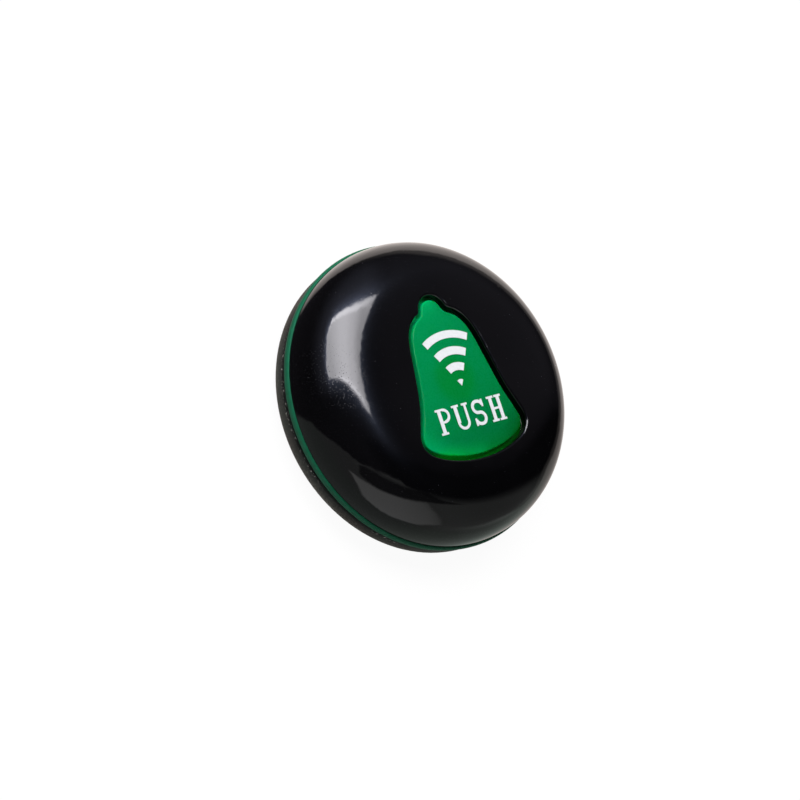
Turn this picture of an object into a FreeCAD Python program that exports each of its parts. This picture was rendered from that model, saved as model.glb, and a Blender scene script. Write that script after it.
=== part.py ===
"""Round wireless call pager: a two-part push-together case with a bell-shaped call key.

Frame: +Z is up through the key, +Y points to the knob of the bell, and the origin is on the
face that the pager rests on, at the centre of the case. Millimetres.
One STEP file is written for each separate piece.
"""
import FreeCAD, Part
import math
import os

V = FreeCAD.Vector
os.makedirs("parts", exist_ok=True)

# ---------------------------------------------------------------- driving sizes
CASE_R = 30.0           # radius of the front cover's rim and of the base
RIM_Z = 7.6             # parting height between the seal ring and the front cover
DOME_H = 10.95          # rise of the front cover's shoulder above its rim
DOME_A = 6.0            # exponents of the cover's meridian: (r/R)^A + (h/H)^B = 1
DOME_B = 2.16
CROWN = 0.45            # extra rise of the middle of the cover
CROWN_R = 20.0
CEIL_Z = 16.7           # flat inside of the front cover round the key
SKIRT_R = 27.75         # inside radius of the front cover's skirt

RING_R = 30.42          # outer radius of the green seal ring
RING_Z0 = 6.1           # underside of the seal ring
RING_IN = 27.8          # inner radius of the seal ring

BASE_TOP = 5.7          # top edge of the base's outer wall
BASE_Z0 = 0.2           # underside of the base, the pad stands proud of it
BASE_FILLET = 3.1
FLOOR_Z = 2.4           # inside floor of the base
SPIGOT_R = 27.2         # outside radius of the base's spigot
SPIGOT_IN = 25.6
SPIGOT_TOP = 10.5
BEAD_R = 27.6           # snap beads on the spigot
BEAD_Z = 9.55
PAD_R = 22.0
PAD_T = 1.0

KEY_TOP = 18.5          # centre of the key's crowned top
KEY_X = 0.45            # the bell sits this far to the right of the case's centre
KEY_CROWN = 215.0       # crown radius of the key's top
KEY_EDGE = 0.35         # rounding of the key's top edge
KEY_FLANGE_Z = (15.15, 16.15)
KEY_SHELL = 1.7
KEY_TRAVEL = 0.4
KEY_POST_R = 2.6
KEY_BOSS_R = 4.3        # wide root of the key's post
KEY_BOSS_Z = 15.6
GAP = 0.85              # gap all round the key
LIP = 0.4               # rounding of the opening's top edge

PCB_Z = (7.7, 8.9)
PCB_R = 24.8
BOSS_R = 2.6
BOSS_AT = 21.2
BOSS_ANGLES = (40.0, 140.0, 200.0, 340.0)
PILOT_R = 0.85
SCREW_R = 0.83

SW = 6.0                # tact switch body
SW_H = 3.4
PLUNGER_R = 1.7
PLUNGER_TOP = 13.2
POST_GAP = 0.05

CELL_R = 10.0           # coin cell, 20 mm x 3.2 mm
CELL_T = 3.2
CELL_Z0 = 3.95
CELL_Y = 1.5

# Half outline of the key, from the bottom middle up the right side to the bell's knob (x, y)
KEY_HALF = [(0, -14.9), (3.0, -14.72), (5.9, -14.18), (8.45, -13.38), (10.1, -12.58), (11.15, -11.72), (11.7, -10.65),
            (11.68, -9.6), (11.3, -8.4), (10.71, -6.8), (10.01, -4.92), (9.43, -2.94), (8.96, -0.95), (8.56, 1.05),
            (8.16, 3.05), (7.82, 4.85), (7.5, 6.6), (7.12, 8.1), (6.62, 9.6), (5.85, 10.95), (4.85, 11.98), (3.7, 12.7),
            (2.85, 13.2), (2.45, 13.85), (2.07, 14.7), (1.45, 15.45), (0.75, 15.82), (0, 15.93)]

# Printed mark: four ring sectors about one point, as (inner radius, outer radius, from, to)
MARK_X, MARK_Y = 0.98, -1.6
WAVES = [(0.0, 1.3, 57.0, 123.0), (3.1, 4.65, 60.5, 119.5), (6.22, 7.82, 60.0, 120.0), (9.55, 11.05, 60.0, 120.0)]
WORD_X, WORD_Y = -7.1, -9.85      # lower left corner of the word
WORD_W, WORD_H = 15.6, 5.0
STROKE = 0.78            # upright strokes, thin strokes and how far an end stroke overhangs
THIN = 0.42
SERIF = 0.42
PRINT_T = 0.08


# ---------------------------------------------------------------- helpers
def cyl(r, h, x=0, y=0, z=0):
    return Part.makeCylinder(r, h, V(x, y, z), V(0, 0, 1))


def box(lx, ly, lz, x, y, z):
    """A box centred on x, y with its underside at z."""
    return Part.makeBox(lx, ly, lz, V(x - lx / 2, y - ly / 2, z))


def revolve(pts):
    w = Part.makePolygon([V(r, 0, z) for r, z in pts] + [V(pts[0][0], 0, pts[0][1])])
    return Part.Face(w).revolve(V(0, 0, 0), V(0, 0, 1), 360)


def revolve_edges(edges):
    return Part.Face(Part.Wire(edges)).revolve(V(0, 0, 0), V(0, 0, 1), 360)


def polar(r, deg):
    return r * math.cos(math.radians(deg)), r * math.sin(math.radians(deg))


def spline(pts, z=0.0):
    c = Part.BSplineCurve()
    c.interpolate(Points=[V(x, y, z) for x, y in pts], PeriodicFlag=True)
    return c


def full(half):
    return [(KEY_X + x, y) for x, y in half] + [(KEY_X - x, y) for x, y in reversed(half[1:-1])]


def outline(half, d=0.0, n=480):
    """The closed outline moved outwards by d, as a list of points on a smooth curve.

    The half outline runs counter-clockwise, so the outward side is on the right of the tangent."""
    c = spline(full(half))
    if not d:
        return full(half)
    a, b = c.FirstParameter, c.LastParameter
    base, moved = [], []
    for i in range(n):
        t = a + (b - a) * i / n
        p, g = c.value(t), c.tangent(t)[0]
        base.append((p.x, p.y))
        moved.append((p.x + d * g.y, p.y - d * g.x))
    keep = []
    for x, y in moved:
        near = min(math.hypot(x - bx, y - by) for bx, by in base)
        if near > abs(d) - 0.03:
            keep.append((x, y))
    pts = [keep[0]]
    for q in keep[1:]:
        if math.hypot(q[0] - pts[-1][0], q[1] - pts[-1][1]) > 0.8:
            pts.append(q)
    if math.hypot(pts[-1][0] - pts[0][0], pts[-1][1] - pts[0][1]) < 0.5:
        pts.pop()
    return pts


def prism(pts, z0, z1):
    w = Part.Wire([spline(pts, z0).toShape()])
    return Part.Face(w).extrude(V(0, 0, z1 - z0))


def fuse(shapes):
    s = shapes[0].multiFuse(shapes[1:]) if len(shapes) > 1 else shapes[0]
    return s.removeSplitter()


def save(name, shape):
    solids = shape.Solids
    assert solids, name + " has no solid"
    for s in solids:
        assert s.isValid() and s.Volume > 0, name + " is not valid"
    out = solids[0] if len(solids) == 1 else Part.Compound(solids)
    out.exportStep("parts/%s.step" % name)
    b = out.BoundBox
    print("%-20s solids %2d  vol %9.2f  x %6.2f %6.2f  y %6.2f %6.2f  z %6.2f %6.2f" % (
        name, len(solids), out.Volume, b.XMin, b.XMax, b.YMin, b.YMax, b.ZMin, b.ZMax))
    return out


def dome_h(rad):
    """Height of the cover's outside above its rim."""
    h = DOME_H * (1 - (rad / CASE_R) ** DOME_A) ** (1 / DOME_B)
    if rad < CROWN_R:
        h += CROWN * (1 - (rad / CROWN_R) ** 2) ** 2
    return h


APEX_Z = RIM_Z + dome_h(0)


# ---------------------------------------------------------------- front cover
def dome_points():
    """Points on the outer meridian from the axis to the rim."""
    pts = [(r, RIM_Z + dome_h(r)) for r in (0.0, 3.0, 6.0, 9.0, 12.0, 14.5, 16.5, 18.2)]
    n = 60
    for i in range(n):
        t = math.pi / 2 * (1 - i / n)
        r, h = CASE_R * math.cos(t) ** (2 / DOME_A), DOME_H * math.sin(t) ** (2 / DOME_B)
        if r > 19.4 and math.hypot(r - pts[-1][0], RIM_Z + h - pts[-1][1]) > 0.95:
            pts.append((r, RIM_Z + (dome_h(r) if r < CROWN_R else h)))
    if pts[-1][1] - RIM_Z < 0.5:
        pts.pop()
    return pts + [(CASE_R, RIM_Z)]


def front_cover():
    top = APEX_Z
    outer = Part.BSplineCurve()
    outer.interpolate(Points=[V(r, 0, z) for r, z in dome_points()], InitialTangent=V(1, 0, 0), FinalTangent=V(0, 0, -1))
    inner = [V(0, 0, CEIL_Z), V(19.3, 0, CEIL_Z), V(23.2, 0, CEIL_Z - 1.1), V(26.0, 0, CEIL_Z - 3.2), V(27.35, 0, 12.0),
             V(SKIRT_R, 0, 10.6), V(SKIRT_R, 0, RIM_Z)]
    shoulder = Part.BSplineCurve()
    shoulder.interpolate(Points=inner[1:6], InitialTangent=V(1, 0, 0), FinalTangent=V(0, 0, -1))
    edges = [outer.toShape(), Part.LineSegment(V(CASE_R, 0, RIM_Z), inner[6]).toShape(), Part.LineSegment(inner[6], inner[5]).toShape(),
             shoulder.toShape(), Part.LineSegment(inner[1], inner[0]).toShape(), Part.LineSegment(inner[0], V(0, 0, top)).toShape()]
    body = revolve_edges(edges)
    # shallow groove that the base's snap beads sit in
    body = body.cut(cyl(28.05, 0.9, 0, 0, BEAD_Z - 0.45))
    # groove in the rim for the seal ring's tongue
    body = body.cut(cyl(29.15, 1.1, 0, 0, RIM_Z).cut(cyl(28.45, 1.1, 0, 0, RIM_Z)))
    # bosses for the board
    adds, cuts = [], []
    for a in BOSS_ANGLES:
        x, y = polar(BOSS_AT, a)
        adds.append(cyl(BOSS_R, 17.2 - PCB_Z[1], x, y, PCB_Z[1]))
        rib = Part.makeBox(3.4, 1.0, 16.0 - 11.0, V(0, -0.5, 11.0))
        rib.rotate(V(0, 0, 0), V(0, 0, 1), a)
        rx, ry = polar(BOSS_AT + 1.6, a)
        rib.translate(V(rx, ry, 0))
        adds.append(rib)
        cuts.append(cyl(PILOT_R, 5.6, x, y, PCB_Z[1]))
    solid_dome = revolve_edges([outer.toShape(), Part.LineSegment(V(CASE_R, 0, RIM_Z), V(0, 0, RIM_Z)).toShape(),
                                Part.LineSegment(V(0, 0, RIM_Z), V(0, 0, top)).toShape()])
    inner_solid = solid_dome.cut(cyl(40, 40, 0, 0, 17.2))
    adds = [a.common(inner_solid) for a in adds]
    # low rib round the opening that locates the gasket
    fence = prism(outline(KEY_HALF, GAP + 3.1), CEIL_Z - 1.0, CEIL_Z + 0.2).cut(prism(outline(KEY_HALF, GAP + 2.3), CEIL_Z - 1.5, CEIL_Z + 1))
    adds.append(fence)
    body = fuse([body] + adds)
    for c in cuts:
        body = body.cut(c)
    body = body.cut(prism(outline(KEY_HALF, GAP), 10, 25))
    # round the opening's top edge
    rim_edges = [e for e in body.Edges if e.BoundBox.ZMin > APEX_Z - 1.0 and e.Length > 20]
    try:
        b2 = body.makeFillet(LIP, rim_edges)
        if b2.isValid() and b2.Solids:
            body = b2
            print("lip fillet ok", len(rim_edges))
    except Exception as ex:
        print("lip fillet failed", ex)
    return body


# ---------------------------------------------------------------- seal ring
def seal_ring():
    o, zt, zb = RING_R, RIM_Z, RING_Z0
    p0, p1, p2 = V(CASE_R - 0.05, 0, zt), V(o, 0, zt - 0.62), V(o - 0.1, 0, zb + 0.12)
    curve = Part.BSplineCurve()
    curve.interpolate(Points=[p0, V(CASE_R + 0.28, 0, zt - 0.22), p1, p2], InitialTangent=V(0.9, 0, -0.35))
    pts = [p2, V(o - 0.25, 0, zb), V(29.5, 0, zb), V(29.4, 0, 5.78), V(28.7, 0, 5.78), V(28.6, 0, zb), V(RING_IN, 0, zb), V(RING_IN, 0, zt),
           V(28.5, 0, zt), V(28.55, 0, zt + 0.9), V(29.05, 0, zt + 0.9), V(29.1, 0, zt), p0]
    edges = [curve.toShape()] + [Part.LineSegment(a, b).toShape() for a, b in zip(pts, pts[1:])]
    return revolve_edges(edges)


# ---------------------------------------------------------------- base
def base_cover():
    f = BASE_FILLET
    side = 29.9
    cx, cz = side - f, BASE_Z0 + f
    arc = Part.Arc(V(cx, 0, cz - f), V(cx + f * math.cos(math.radians(-45)), 0, cz + f * math.sin(math.radians(-45))), V(side, 0, cz))
    z0 = cz - f
    top = BASE_TOP
    e = [Part.LineSegment(V(0, 0, z0), V(cx, 0, z0)).toShape(), arc.toShape(),
         Part.LineSegment(V(side, 0, cz), V(CASE_R, 0, top - 0.25)).toShape(),
         Part.LineSegment(V(CASE_R, 0, top - 0.25), V(CASE_R - 0.25, 0, top)).toShape(),
         Part.LineSegment(V(CASE_R - 0.25, 0, top), V(28.2, 0, top)).toShape(),
         Part.LineSegment(V(28.2, 0, top), V(28.2, 0, top - 1.2)).toShape(),
         Part.LineSegment(V(28.2, 0, top - 1.2), V(SPIGOT_R, 0, top - 1.2)).toShape(),
         Part.LineSegment(V(SPIGOT_R, 0, top - 1.2), V(SPIGOT_R, 0, SPIGOT_TOP - 0.4)).toShape(),
         Part.LineSegment(V(SPIGOT_R, 0, SPIGOT_TOP - 0.4), V(SPIGOT_R - 0.4, 0, SPIGOT_TOP)).toShape(),
         Part.LineSegment(V(SPIGOT_R - 0.4, 0, SPIGOT_TOP), V(SPIGOT_IN, 0, SPIGOT_TOP)).toShape(),
         Part.LineSegment(V(SPIGOT_IN, 0, SPIGOT_TOP), V(SPIGOT_IN, 0, FLOOR_Z)).toShape(),
         Part.LineSegment(V(SPIGOT_IN, 0, FLOOR_Z), V(0, 0, FLOOR_Z)).toShape(),
         Part.LineSegment(V(0, 0, FLOOR_Z), V(0, 0, z0)).toShape()]
    body = revolve_edges(e)
    body = body.cut(cyl(PAD_R, PAD_T, 0, 0, 0))
    adds = []
    # snap beads
    for a in (30.0, 150.0, 270.0):
        bead = revolve([(SPIGOT_R - 0.3, BEAD_Z - 0.5), (BEAD_R, BEAD_Z - 0.15), (BEAD_R, BEAD_Z + 0.15), (SPIGOT_R - 0.3, BEAD_Z + 0.5)])
        wedge = Part.makeCylinder(40, 5, V(0, 0, 7), V(0, 0, 1), 16)
        wedge.rotate(V(0, 0, 0), V(0, 0, 1), a - 8)
        adds.append(bead.common(wedge))
    # board rests and the floor's stiffening ribs
    for a in (90.0, 170.0, 250.0, 310.0, 10.0):
        x, y = polar(23.4, a)
        adds.append(cyl(1.3, 7.4 - FLOOR_Z + 0.5, x, y, FLOOR_Z - 0.5))
    ring = cyl(15.2, 0.9, 0, 0, FLOOR_Z - 0.1).cut(cyl(14.2, 2, 0, 0, FLOOR_Z - 0.6))
    adds.append(ring)
    for k in range(6):
        r = Part.makeBox(10.6, 0.9, 0.9, V(15.0, -0.45, FLOOR_Z - 0.1))
        r.rotate(V(0, 0, 0), V(0, 0, 1), 60 * k + 30)
        adds.append(r)
    body = fuse([body] + adds)
    # slots that let the beads flex
    for a in (30.0, 150.0, 270.0):
        for da in (-10.5, 10.5):
            s = Part.makeBox(4.0, 0.8, 6.0, V(24.6, -0.4, 5.4))
            s.rotate(V(0, 0, 0), V(0, 0, 1), a + da)
            body = body.cut(s)
    # pry notch in the rim, on the right
    n = Part.makeBox(3.0, 9.0, 0.9, V(28.9, -4.5, BASE_TOP - 0.7))
    n.rotate(V(0, 0, 0), V(0, 0, 1), 20)
    body = body.cut(n)
    return body


def base_pad():
    p = cyl(PAD_R - 0.15, PAD_T)
    return p.makeChamfer(0.12, [e for e in p.Edges if e.BoundBox.ZMax < 0.01 and e.Closed and e.Length > 100])


# ---------------------------------------------------------------- key
def key_parts():
    cap = prism(outline(KEY_HALF), KEY_FLANGE_Z[0], KEY_TOP + 3)
    ball = Part.makeSphere(KEY_CROWN, V(0, 0, KEY_TOP - KEY_CROWN))
    cap = cap.common(ball)
    top_edges = [e for e in cap.Edges if e.BoundBox.ZMin > KEY_TOP - 1.2 and e.Length > 20]
    done = False
    for r in (KEY_EDGE, 0.3, 0.25):
        try:
            c2 = cap.makeFillet(r, top_edges)
            if c2.isValid() and c2.Solids:
                cap = c2
                print("key edge fillet", r)
                done = True
                break
        except Exception as ex:
            print("key fillet failed", r, ex)
    if not done:
        print("key has no fillet")
    # the flange follows the opening so that it hides the gap
    flange = prism(outline(KEY_HALF, GAP + 0.9), KEY_FLANGE_Z[0], KEY_FLANGE_Z[1])
    body = cap.fuse(flange)
    pocket = prism(outline(KEY_HALF, -1.5), KEY_FLANGE_Z[0] - 1, KEY_TOP - KEY_SHELL)
    body = body.cut(pocket)
    post = cyl(KEY_POST_R, KEY_TOP - KEY_SHELL + 0.3 - (PLUNGER_TOP + POST_GAP), 0, 0, PLUNGER_TOP + POST_GAP)
    root = cyl(KEY_BOSS_R, KEY_TOP - KEY_SHELL + 0.3 - KEY_BOSS_Z, 0, 0, KEY_BOSS_Z)
    ribs = [Part.makeBox(15.4, 0.8, 1.3, V(-7.7, -0.4, KEY_TOP - KEY_SHELL - 1.0)), Part.makeBox(0.8, 27.6, 1.3, V(-0.4, -14.2, KEY_TOP - KEY_SHELL - 1.0))]
    body = fuse([body, post, root] + ribs)
    return body, ball


def sector(r0, r1, a0, a1, x, y, z, h):
    """A ring sector from angle a0 to a1 in degrees."""
    c = Part.makeCylinder(r1, h, V(x, y, z), V(0, 0, 1), a1 - a0)
    c.rotate(V(x, y, z), V(0, 0, 1), a0)
    if r0 > 0:
        c = c.cut(cyl(r0, h + 2, x, y, z - 1))
    return c


def marks(ball):
    """White print on the key's crown: four radio waves and a plain word."""
    shell = Part.makeSphere(KEY_CROWN + PRINT_T, V(0, 0, KEY_TOP - KEY_CROWN)).cut(ball)
    z, h = KEY_TOP - 2.0, 4.0
    waves = [sector(r0, r1, a0, a1, MARK_X, MARK_Y, z, h) for r0, r1, a0, a1 in WAVES]
    signal = Part.Compound([w.common(shell).Solids[0] for w in waves])
    letters = []
    t, th, lh, y0 = STROKE, THIN, WORD_H, WORD_Y
    lw = 3.1
    pitch = (WORD_W - lw) / 3

    def bar(x, y, w, hh):
        return Part.makeBox(w, hh, h, V(x, y, z))

    def stem(x, foot=True, head=True):
        """An upright with a thin cross stroke at its ends."""
        parts = [bar(x, y0, t, lh)]
        if foot:
            parts.append(bar(x - SERIF, y0, t + 2 * SERIF, th))
        if head:
            parts.append(bar(x - SERIF, y0 + lh - th, t + 2 * SERIF, th))
        return parts

    def join(parts):
        s = parts[0].multiFuse(parts[1:])
        letters.append(s.removeSplitter())

    def bowl(cx, cy, ro, ri, a0, a1):
        """A ring sector of outer radius ro whose inside is ri, thick in the middle of a curve."""
        return sector(ri, ro, a0, a1, cx, cy, z, h)

    # P
    x = WORD_X + SERIF
    r = 1.42
    join(stem(x) + [bar(x, y0 + lh - th, lw - SERIF - r, th), bar(x, y0 + lh - 2 * r, lw - SERIF - r, th),
                    bowl(x + lw - SERIF - r, y0 + lh - r, r, r - th - 0.12, -90, 90)])
    # U
    x = WORD_X + pitch + SERIF * 0.4
    w = lw - SERIF * 0.4
    r = w / 2
    join([bar(x, y0 + r, t, lh - r), bar(x + w - th - 0.12, y0 + r, th + 0.12, lh - r), bar(x - SERIF, y0 + lh - th, t + 2 * SERIF, th),
          bar(x + w - th - 0.12 - SERIF, y0 + lh - th, th + 0.12 + 2 * SERIF, th), bowl(x + r, y0 + r, r, r - th - 0.12, 180, 360)])
    # S
    x = WORD_X + 2 * pitch + 0.1
    w = lw - 0.1
    ts = 0.62
    r = (lh + ts) / 4
    cx0, cx1 = x + r, x + w - r
    yt, yb = y0 + lh - r, y0 + r
    join([bowl(cx0, yt, r, r - ts, 90, 270), bar(cx0, y0 + lh - ts, cx1 - cx0, ts), bowl(cx1, yt, r, r - ts, 12, 90),
          bar(cx0, y0 + lh / 2 - ts / 2, cx1 - cx0, ts), bowl(cx1, yb, r, r - ts, -90, 90),
          bar(cx0, y0, cx1 - cx0, ts), bowl(cx0, yb, r, r - ts, 192, 270),
          bar(x + w - th - 0.06, y0 + lh - 1.52, th, 1.47), bar(x + 0.06, y0 + 0.05, th, 1.47)])
    # H
    x = WORD_X + 3 * pitch + SERIF
    join(stem(x) + stem(x + lw - SERIF - t) + [bar(x, y0 + lh / 2 - th / 2, lw - SERIF, th)])
    printed = []
    for flat in letters:
        piece = flat.common(shell)
        printed.append(piece.Solids[0])
    word = Part.Compound(printed)
    return signal, word


def key_gasket():
    return prism(outline(KEY_HALF, GAP + 2.1), KEY_FLANGE_Z[1] + 0.05, CEIL_Z).cut(prism(outline(KEY_HALF, GAP + 0.25), 10, 20))


# ---------------------------------------------------------------- board and its parts
def pcb():
    b = cyl(PCB_R, PCB_Z[1] - PCB_Z[0], 0, 0, PCB_Z[0])
    for a in BOSS_ANGLES:
        x, y = polar(BOSS_AT, a)
        b = b.cut(cyl(1.2, 4, x, y, PCB_Z[0] - 1))
    # locating flats at the edge
    b = b.cut(box(3.0, 2.4, 4, 0, PCB_R, PCB_Z[0] - 1))
    b = b.cut(box(3.0, 2.4, 4, 0, -PCB_R, PCB_Z[0] - 1))
    return b


def screws():
    out = []
    for a in BOSS_ANGLES:
        x, y = polar(BOSS_AT, a)
        zt = PCB_Z[0]
        head = cyl(1.9, 1.3, x, y, zt - 1.3)
        head = head.makeFillet(0.5, [e for e in head.Edges if e.BoundBox.ZMax < zt - 1.29])
        shank = cyl(SCREW_R, 5.6, x, y, zt - 0.1)
        tip = Part.makeCone(SCREW_R, 0.25, 0.7, V(x, y, zt + 5.5))
        s = head.fuse(shank).fuse(tip)
        for k in (0, 90):
            slot = Part.makeBox(2.3, 0.45, 0.7, V(-1.15, -0.225, 0))
            slot.rotate(V(0, 0, 0), V(0, 0, 1), k + a)
            slot.translate(V(x, y, zt - 1.4))
            s = s.cut(slot)
        out.append(s.removeSplitter())
    return Part.Compound(out)


def tact_switch():
    z = PCB_Z[1]
    body = box(SW, SW, SW_H - 0.3, 0, 0, z)
    cav = cyl(2.35, SW_H - 0.6, 0, 0, z + 0.5)
    body = body.cut(cav)
    pegs = [cyl(0.45, 0.35, dx, dy, z + SW_H - 0.3) for dx in (-2.35, 2.35) for dy in (-2.35, 2.35)]
    body = fuse([body] + pegs)
    plate = box(SW - 0.3, SW - 0.3, 0.3, 0, 0, z + SW_H - 0.3)
    plate = plate.cut(cyl(PLUNGER_R + 0.12, 1, 0, 0, z + SW_H - 0.5))
    for dx in (-2.35, 2.35):
        for dy in (-2.35, 2.35):
            plate = plate.cut(cyl(0.47, 1, dx, dy, z + SW_H - 0.5))
    foot = Part.makeCylinder(2.15, 0.6, V(0, 0, z + SW_H - 0.3 - 0.62), V(0, 0, 1))
    stem = cyl(PLUNGER_R, PLUNGER_TOP - (z + SW_H - 0.35), 0, 0, z + SW_H - 0.35)
    nub = cyl(0.9, 0.75, 0, 0, z + SW_H - 0.92 - 0.7)
    plunger = fuse([foot, stem, nub])
    top = [e for e in plunger.Edges if abs(e.BoundBox.ZMin - PLUNGER_TOP) < 1e-6]
    plunger = plunger.makeFillet(0.3, top)
    # snap dome: thin spherical cap over the floor contact
    rise, rad = 0.7, 2.1
    R = (rad * rad + rise * rise) / (2 * rise)
    zb = z + 0.52
    zc = zb + rise - R
    cap = Part.makeSphere(R, V(0, 0, zc)).cut(Part.makeSphere(R - 0.12, V(0, 0, zc))).common(cyl(rad, 3, 0, 0, zb))
    leads = []
    for dx in (-1, 1):
        for dy in (-1, 1):
            x, y = dx * 3.25, dy * 2.25
            a = box(0.25, 0.7, 1.0, dx * 3.13, y, z)
            b = box(1.2, 0.7, 0.25, dx * 3.7, y, z)
            leads.append(a.fuse(b).removeSplitter())
    return body, plate, plunger, cap, Part.Compound(leads)


def chip():
    z = PCB_Z[1]
    cx, cy = -13.0, -2.0
    body = box(3.9, 4.9, 1.35, cx, cy, z + 0.15)
    body = body.cut(cyl(0.35, 0.2, cx - 1.3, cy + 1.8, z + 1.4))
    leads = []
    for sgn in (-1, 1):
        for k in range(4):
            y = cy + (k - 1.5) * 1.27
            a = box(0.55, 0.4, 0.22, cx + sgn * 2.225, y, z + 0.7)
            b = box(0.22, 0.4, 0.92, cx + sgn * 2.45, y, z)
            c = box(0.7, 0.4, 0.22, cx + sgn * 2.75, y, z)
            leads.append(fuse([a, b, c]))
    return body, Part.Compound(leads)


def resonator():
    z = PCB_Z[1]
    can = fuse([cyl(4.6, 0.5, 12.6, 3.5, z + 0.4), cyl(4.1, 2.7, 12.6, 3.5, z + 0.6)])
    can = can.makeFillet(0.5, [e for e in can.Edges if e.BoundBox.ZMin > z + 3.2])
    legs = [cyl(0.25, 0.4, 12.6 + dx, 3.5 + dy, z) for dx, dy in ((-2, 0), (2, 0), (0, 2))]
    return fuse([can] + legs)


def small_parts():
    z = PCB_Z[1]
    res, cap = [], []
    for x, y, rot in ((-8.2, 4.6, 0), (-8.2, 6.6, 0), (-13.2, 5.0, 90), (8.4, -4.2, 90), (6.2, -6.6, 0), (-6.2, -8.8, 90)):
        b = box(2.0, 1.25, 0.55, 0, 0, 0)
        b.rotate(V(0, 0, 0), V(0, 0, 1), rot)
        b.translate(V(x, y, z))
        res.append(b)
    for x, y, rot, s in ((-10.4, -7.4, 0, 1.25), (12.6, -3.6, 0, 1.25), (10.8, -7.4, 90, 1.25), (-4.4, 12.6, 0, 1.6)):
        b = box(2.0 * s / 1.25, s, 0.9 if s < 1.5 else 1.6, 0, 0, 0)
        b.rotate(V(0, 0, 0), V(0, 0, 1), rot)
        b.translate(V(x, y, z))
        cap.append(b)
    return Part.Compound(res), Part.Compound(cap)


def transistor():
    z = PCB_Z[1]
    x, y = 6.4, 6.2
    b = box(2.9, 1.3, 0.95, x, y, z + 0.1)
    legs = [box(0.4, 0.6, 0.2, x - 0.95, y - 0.95, z), box(0.4, 0.6, 0.2, x + 0.95, y - 0.95, z), box(0.4, 0.6, 0.2, x, y + 0.95, z)]
    return Part.Compound([fuse([b] + legs)])


def led():
    z = PCB_Z[1]
    base = box(3.2, 1.6, 0.6, 0, 9.2, z)
    lens = cyl(0.75, 0.7, 0, 9.2, z + 0.6)
    lens = lens.makeFillet(0.3, [e for e in lens.Edges if e.BoundBox.ZMin > z + 1.25])
    return fuse([base, lens])


def spring_coil(x0, x1, y, zc, r, wire, pitch):
    """A coil of wire lying along X, whose ends are at the bottom."""
    helix = Part.makeHelix(pitch, x1 - x0, r)
    start = V(r, 0, 0)
    tangent = V(0, 2 * math.pi * r, pitch)
    tangent.normalize()
    circle = Part.Wire([Part.Circle(start, tangent, wire / 2).toShape()])
    coil = Part.Wire(helix.Wires[0].Edges).makePipeShell([circle], True, True)
    coil.rotate(V(0, 0, 0), V(0, 1, 0), 90)     # along X, the start goes to -Z
    coil.translate(V(x0, y, zc))
    return coil


def antenna():
    z = PCB_Z[1]
    wire, r, pitch, half = 0.6, 2.1, 1.15, 6.9
    y = -18.6
    zc = z + r + wire / 2 + 0.35
    coil = spring_coil(-half, half, y, zc, r, wire, pitch)
    feet = [cyl(wire / 2, zc - r - z, sx * half, y, z) for sx in (-1, 1)]
    return fuse([coil] + feet)


def holder_parts():
    zt = PCB_Z[0]
    cy = CELL_Y
    # plastic frame: a shallow cup that is open on one side, upside down under the board
    frame = cyl(11.6, zt - CELL_Z0 - 0.25, 0, cy, CELL_Z0 + 0.25)
    frame = frame.common(box(21.6, 40, 20, 0, cy, 0))
    frame = frame.cut(cyl(CELL_R + 0.25, 8, 0, cy, zt - 0.5 - 8))
    frame = frame.cut(box(13.0, 16.0, 8, 0, cy - 12.0, zt - 0.5 - 8))
    frame = frame.cut(box(4.4, 3.0, 9, 0, cy + 11.3, 0))
    # positive clip: a strap across the cell's face, down both sides and out to the board
    zc = CELL_Z0 - 0.3
    strap = box(24.2, 5.2, 0.3, 0, cy + 1.0, zc)
    window = box(7.0, 2.2, 1.0, 0, cy + 1.0, zc - 0.3)
    strap = strap.cut(window)
    sides = [box(0.3, 5.2, zt - zc, sx * 11.95, cy + 1.0, zc) for sx in (-1, 1)]
    tabs = [box(2.2, 5.2, 0.3, sx * 13.05, cy + 1.0, zt - 0.3) for sx in (-1, 1)]
    clip = fuse([strap] + sides + tabs)
    # negative contact: a plate on the board with a sprung tongue that bears on the cell
    top = CELL_Z0 + CELL_T
    frame = frame.cut(box(7.2, 12.4, 3, 0, cy, zt - 1.5))
    prof = [(cy - 5.6, zt), (cy - 5.6, zt - 0.14), (cy - 2.6, zt - 0.14), (cy + 0.6, top + 0.14), (cy + 1.8, top), (cy + 2.2, top),
            (cy + 3.4, top + 0.2), (cy + 3.4, top + 0.34), (cy + 2.15, top + 0.14), (cy + 1.85, top + 0.14), (cy + 0.65, top + 0.28), (cy - 2.55, zt)]
    tongue = Part.Face(Part.makePolygon([V(0, y, z) for y, z in prof + prof[:1]])).extrude(V(3.0, 0, 0))
    tongue.translate(V(-1.5, 0, 0))
    pad = box(6.4, 2.4, 0.14, 0, cy - 4.4, zt - 0.14)
    plate = fuse([tongue, pad])
    return frame, clip, plate


def coin_cell():
    cy = CELL_Y
    z = CELL_Z0
    can = cyl(CELL_R, CELL_T - 0.35, 0, cy, z)
    can = can.makeFillet(0.5, [e for e in can.Edges if e.BoundBox.ZMax < z + 0.01])
    can = can.cut(cyl(9.15, 2.35, 0, cy, z + 0.35 + 0.2))
    cap = cyl(8.75, CELL_T - 0.55 - 0.02, 0, cy, z + 0.57)
    cap = cap.makeFillet(0.35, [e for e in cap.Edges if e.BoundBox.ZMin > z + CELL_T - 0.05])
    ring = cyl(9.15, 2.25, 0, cy, z + 0.57).cut(cyl(8.75, 5, 0, cy, z))
    return can, cap, ring


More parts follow.
